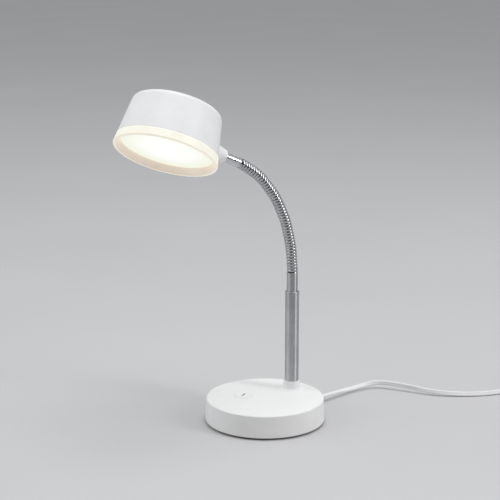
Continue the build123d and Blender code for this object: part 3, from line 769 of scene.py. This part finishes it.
def make_mark():
    """A short printed bar across the button, a hair above its face."""
    mesh_data = bmesh.new()
    turn = switch_frame @ Matrix.Rotation(mark_turn, 4, "Z")
    half = mark_l / 2 - mark_w / 2
    ends = []
    for side, middle in ((1, half), (-1, -half)):
        for step in range(mark_end_steps + 1):
            angle = pi * step / mark_end_steps - pi / 2
            x = middle + side * cos(angle) * mark_w / 2
            ends.append((x, side * sin(angle) * mark_w / 2))
    low_z, high_z = button_top - mark_lift, button_top + mark_lift
    low = [mesh_data.verts.new(turn @ Vector((x, y, low_z))) for x, y in ends]
    high = [mesh_data.verts.new(turn @ Vector((x, y, high_z))) for x, y in ends]
    mesh_data.faces.new(low)
    mesh_data.faces.new(high)
    join_rings(mesh_data, low, high)
    mark = finished("switch_mark", mesh_data, mark_grey)
    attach(mark, "switch_button")


def make_stem():
    """The plated tube, its ends slightly rounded."""
    corners = [
        (stem_r - stem_wall, base_h, 0),
        (stem_r, base_h, broken_edge_r),
        (stem_r, stem_top, stem_edge_r),
        (stem_r - stem_wall, stem_top, broken_edge_r),
    ]
    tube = turned("stem_tube_plated", corners, stem_frame, stem_chrome)
    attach(tube, "base")
    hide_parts("stem_tube")


def make_ferrule():
    """The thinner plated tube that comes out of the stem and ends under the winding."""
    low = stem_top - ferrule_seat
    high = stem_top + ferrule_shown
    corners = [
        (ferrule_r - ferrule_wall, low, 0),
        (ferrule_r, low, 0),
        (ferrule_r, high, ferrule_edge_r),
        (ferrule_r - ferrule_wall, high, broken_edge_r),
    ]
    ferrule = turned("stem_sleeve_plated", corners, stem_frame, stem_chrome)
    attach(ferrule, "base")
    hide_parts("stem_sleeve")


def make_collar():
    """The moulded cone on the base round the stem's foot, its own foot flared in a cove."""
    bore_r = stem_r + collar_fit
    corners = [
        (bore_r, base_h, 0),
        (collar_foot_r + collar_flare, base_h, 0),
        (collar_foot_r, base_h + collar_flare_h, collar_cove_r),
        (collar_top_r, base_h + collar_h, collar_edge_r),
        (bore_r, base_h + collar_h, collar_bore_edge_r),
    ]
    collar = turned("stem_collar_cone", corners, stem_frame, white_satin)
    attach(collar, "base")
    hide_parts("stem_collar")


def make_gland():
    """The moulded boot where the flex leaves the base."""
    wall_y = base_r(gland_z)
    end_y = wall_y + gland_l
    corners = [
        (0, wall_y - base_wall / 2, 0),
        (gland_r, wall_y - base_wall / 2, 0),
        (gland_end_r, end_y, gland_edge_r),
        (0, end_y, 0),
    ]
    boot = turned(
        "cord_gland_boot", corners, gland_frame, flex_white, steps=small_steps, closed=False
    )
    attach(boot, "base")
    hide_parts("cord_gland")


make_base()
make_switch()
make_stem()
make_ferrule()
make_collar()
make_gland()


# Neck


def bent_line(start, corner, end, samples=24):
    """Points on the curve that leaves start towards corner and reaches end from corner."""
    points = []
    for step in range(samples + 1):
        t = step / samples
        points.append(start * (1 - t) ** 2 + corner * 2 * t * (1 - t) + end * t**2)
    return points


def walk(points, share):
    """The point at a share of a line's length, and the line's direction there."""
    runs = [(after - before).length for before, after in zip(points, points[1:])]
    left = sum(runs) * share
    for index, run in enumerate(runs):
        if left <= run or index == len(runs) - 1:
            break
        left -= run
    way = points[index + 1] - points[index]
    before = points[index] - points[index - 1] if index > 0 else way
    after = points[index + 2] - points[index + 1] if index + 2 < len(points) else way
    inside = left / run
    smooth_way = (before + way) * (1 - inside) + (way + after) * inside
    return points[index] + way * inside, smooth_way.normalized()


def across(way):
    """The two directions square to the neck: its side axis and the way it bends."""
    side = (neck_side - way * neck_side.dot(way)).normalized()
    return side, way.cross(side)


def tube_faces(mesh_data, rings, material_index):
    """A closed tube over a list of rings, its ends capped."""
    faces_before = len(mesh_data.faces)
    for one, other in zip(rings, rings[1:]):
        join_rings(mesh_data, one, other)
    mesh_data.faces.new(rings[0])
    mesh_data.faces.new(rings[-1])
    mesh_data.faces.ensure_lookup_table()
    for face in mesh_data.faces[faces_before:]:
        face.material_index = material_index


def wire_section(sides=20):
    """The wire's outline as (outwards, along) offsets: round, drawn a little towards a square."""
    outline = []
    for side in range(sides):
        turn = 2 * pi * side / sides
        offsets = []
        for part in (cos(turn), sin(turn)):
            offsets.append(wire_r * abs(part) ** wire_square * (1 if part > 0 else -1))
        outline.append(offsets)
    return outline


def wound_stretch(name, line, first_angle, turns):
    """One stretch of the round-wire winding along a bent line, over a dark core that is painted
    shade in the grooves between the turns.
    """
    mesh_data = bmesh.new()
    wire_steps = 30
    centre_r = winding_r - wire_r
    rise = turn_pitch / (2 * pi * centre_r)
    rings = []
    count = round(turns * wire_steps)
    wire_outline = wire_section()
    for step in range(count + 1):
        spot, way = walk(line, step / count)
        side, bend_way = across(way)
        angle = first_angle + 2 * pi * turns * step / count
        outwards = side * cos(angle) + bend_way * sin(angle)
        around = bend_way * cos(angle) - side * sin(angle)
        square = (way - around * rise).normalized()
        middle = spot + outwards * centre_r
        circle = []
        for high, wide in wire_outline:
            circle.append(mesh_data.verts.new(middle + outwards * high + square * wide))
        rings.append(circle)
    tube_faces(mesh_data, rings, 0)
    # The core, dark as painted shade seen through the grooves between the wire's turns
    core = []
    core_steps = 8
    core_sides = 32
    for step in range(core_steps + 1):
        spot, way = walk(line, step / core_steps)
        side, bend_way = across(way)
        circle = []
        for corner in range(core_sides):
            turn = 2 * pi * corner / core_sides
            outwards = side * cos(turn) + bend_way * sin(turn)
            circle.append(mesh_data.verts.new(spot + outwards * core_r))
        core.append(circle)
    tube_faces(mesh_data, core, 1)
    piece = finished(name, mesh_data, neck_steel, sharp=50.0)
    piece.data.materials.append(painted_groove_shade)
    return piece


def make_neck():
    """Fifteen stretches of winding, each bending between the two bodies that meet at its hinge."""
    links = [f"neck_link_{number:02d}" for number in range(1, len(hinge_spots))]
    bodies = ["base", *links, "head"]
    middles = [(one + other) / 2 for one, other in zip(hinge_spots, hinge_spots[1:])]
    stops = [neck_base, *middles, neck_end]
    angle = 0.0
    for index, hinge in enumerate(hinge_spots):
        start, end = stops[index], stops[index + 1]
        line = bent_line(start, hinge, end)
        at_an_end = index in (0, len(hinge_spots) - 1)
        turns = end_turns if at_an_end else link_turns
        piece = wound_stretch(f"neck_winding_{index + 1:02d}", line, angle, turns)
        angle += 2 * pi * turns
        stands_for = [name for name in bodies[index + 1:index + 2] if name != "head"]
        if index == 0:
            stands_for.append("neck_root")
        if index == len(hinge_spots) - 1:
            stands_for.append("neck_tip")
        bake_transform(piece)
        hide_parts(*stands_for)


def make_sleeve():
    """The plated ferrule between the winding and the head's nozzle."""
    end = sleeve_shown + sleeve_seat
    corners = [
        (sleeve_r - sleeve_wall, 0, broken_edge_r),
        (sleeve_r, 0, ferrule_edge_r),
        (sleeve_r, end, 0),
        (sleeve_r - sleeve_wall, end, 0),
    ]
    sleeve = turned("neck_sleeve_plated", corners, sleeve_frame, sleeve_chrome)
    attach(sleeve, "head")
    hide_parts("neck_sleeve")


make_neck()
make_sleeve()


# Head


def make_housing():
    """The satin cup of the head, its top edge well rounded and a hair inside the solid's facets."""
    inner_top = head_h - head_wall
    corners = [
        (0, head_h, 0),
        (head_r(head_h) - facet_hair, head_h, head_edge_r),
        (head_r(skirt_h), skirt_h, head_foot_edge_r),
        (head_r(skirt_h) - head_wall, skirt_h, broken_edge_r),
        (head_r(inner_top) - head_wall, inner_top, head_inner_edge_r),
        (0, inner_top, 0),
    ]
    housing = turned(
        "head_housing_cup", corners, head_frame, white_satin, steps=wide_steps, closed=False
    )
    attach(housing, "head")
    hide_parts("head_housing")


def make_skirt():
    """The cloudy ring that plugs into the housing and holds the panel on its ledge."""
    lip_top = skirt_h + skirt_lip_h
    inset = head_wall + skirt_gap
    pocket_r = panel_r + skirt_gap
    corners = [
        (head_r(0) - facet_hair, 0, skirt_rim_edge_r),
        (head_r(skirt_h), skirt_h, skirt_seam_edge_r),
        (head_r(skirt_h) - inset, skirt_h, 0),
        (head_r(lip_top) - inset, lip_top, 0),
        (pocket_r, lip_top, 0),
        (pocket_r, panel_z, 0),
        (panel_r - panel_ledge, panel_z, ledge_edge_r),
        (head_r(0) - skirt_rim_t, 0, skirt_inner_edge_r),
    ]
    skirt = turned("diffuser_skirt_ring", corners, head_frame, diffuser, steps=wide_steps)
    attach(skirt, "head")
    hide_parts("diffuser_skirt")


def make_panel():
    """The frosted sheet in the skirt's pocket."""
    corners = [
        (0, panel_z + panel_t, 0),
        (panel_r, panel_z + panel_t, 0),
        (panel_r, panel_z, broken_edge_r),
        (0, panel_z, 0),
    ]
    panel = turned(
        "light_panel_disc", corners, head_frame, frosted_panel, steps=wide_steps, closed=False
    )
    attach(panel, "head")
    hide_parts("light_panel")


def make_nozzle():
    """The moulded cone that carries the ferrule, from inside the head's wall outwards."""
    wall = head_r(nozzle_z)
    corners = [
        (sleeve_r, wall - nozzle_foot, 0),
        (nozzle_wall_r, wall - nozzle_foot, 0),
        (nozzle_wall_r, wall, nozzle_foot_edge_r),
        (nozzle_end_r, nozzle_end, nozzle_edge_r),
        (sleeve_r, nozzle_end, 0),
    ]
    nozzle = turned("head_nozzle_cone", corners, nozzle_frame, white_satin)
    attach(nozzle, "head")
    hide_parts("head_nozzle")


make_housing()
make_skirt()
make_panel()
make_nozzle()


# The solids that stay as they are get their finishes

finishes = {
    steel: [
        "base_plate", "plate_screws", "clamp_screws", "board_screws", "stem_nipple", "stem_washer",
        "stem_nut", "nozzle_nut",
    ],
    cast_iron: ["ballast"],
    rubber_dark: ["foot_pad"],
    black_plastic: ["switch_body"],
    white_matte: ["cord_clamp", "terminal_block", "driver_case", "reflector"],
    flex_white: ["cord_inner", "plug_body"],
    pin_brass: ["plug_pins"],
    board_white: ["led_board"],
    chip_yellow: ["led_chips"],
    aluminium: ["heat_sink"],
}
for material, names in finishes.items():
    for name in names:
        node = frame["nodes"][name]
        node.data.materials.clear()
        node.data.materials.append(material)


# Floor and light


def make_floor():
    """A wide pale floor."""
    mesh_data = bmesh.new()
    reach = 14.0
    spots = [(-reach, -reach), (reach, -reach), (reach, reach), (-reach, reach)]
    mesh_data.faces.new([mesh_data.verts.new((x, y, 0)) for x, y in spots])
    material, tree, shader = new_material("floor_pale", Roughness=0.55)
    tone = two_tone(tree, noise(tree, size=0.3), srgb(192, 192, 193), srgb(195, 195, 196))
    tree.links.new(tone, shader.inputs["Base Color"])
    floor = finished("floor", mesh_data, material)


def softbox(name, spot, aim, width, height, power):
    """A rectangular area light of this many watts at a spot, facing a point."""
    light = bpy.data.lights.new(name, "AREA")
    light.shape = "RECTANGLE"
    light.size = width
    light.size_y = height
    light.energy = power
    lamp = bpy.data.objects.new(name, light)
    bpy.context.scene.collection.objects.link(lamp)
    lamp.location = spot
    lamp.rotation_euler = (Vector(aim) - Vector(spot)).to_track_quat("-Z", "Y").to_euler()


def make_room():
    """A pale grey studio, dark behind the photographer and a little to the right of them."""
    world = bpy.data.worlds.new("room")
    bpy.context.scene.world = world
    world.use_nodes = True
    tree = world.node_tree
    direction = tree.nodes.new("ShaderNodeTexCoord")
    towards = tree.nodes.new("ShaderNodeVectorMath")
    towards.operation = "DOT_PRODUCT"
    dark_way = (0.88, -0.475, 0.0)
    towards.inputs[1].default_value = dark_way
    tree.links.new(direction.outputs["Generated"], towards.inputs[0])
    share = span(tree, towards.outputs["Value"], low=0.0, high=1.0, start=0.4, end=0.8)
    tone = ramp(tree, share, [(0.0, srgb(192, 193, 195)), (1.0, srgb(40, 40, 42))])
    tree.links.new(tone, tree.nodes["Background"].inputs["Color"])


def make_light():
    """A wide soft light on the left, a tall narrow one on the right and one overhead."""
    middle = (0, 0, 0.18)
    softbox("left_light", (-1.9, -3.0, 2.0), middle, width=3.6, height=3.2, power=48.0)
    softbox("right_light", (2.7, 1.2, 1.5), middle, width=0.68, height=2.2, power=40.0)
    softbox("top_light", (0.2, 0.0, 2.4), middle, width=1.5, height=1.5, power=27.5)


make_floor()
make_room()
make_light()

bpy.context.scene.view_settings.view_transform = "Standard"
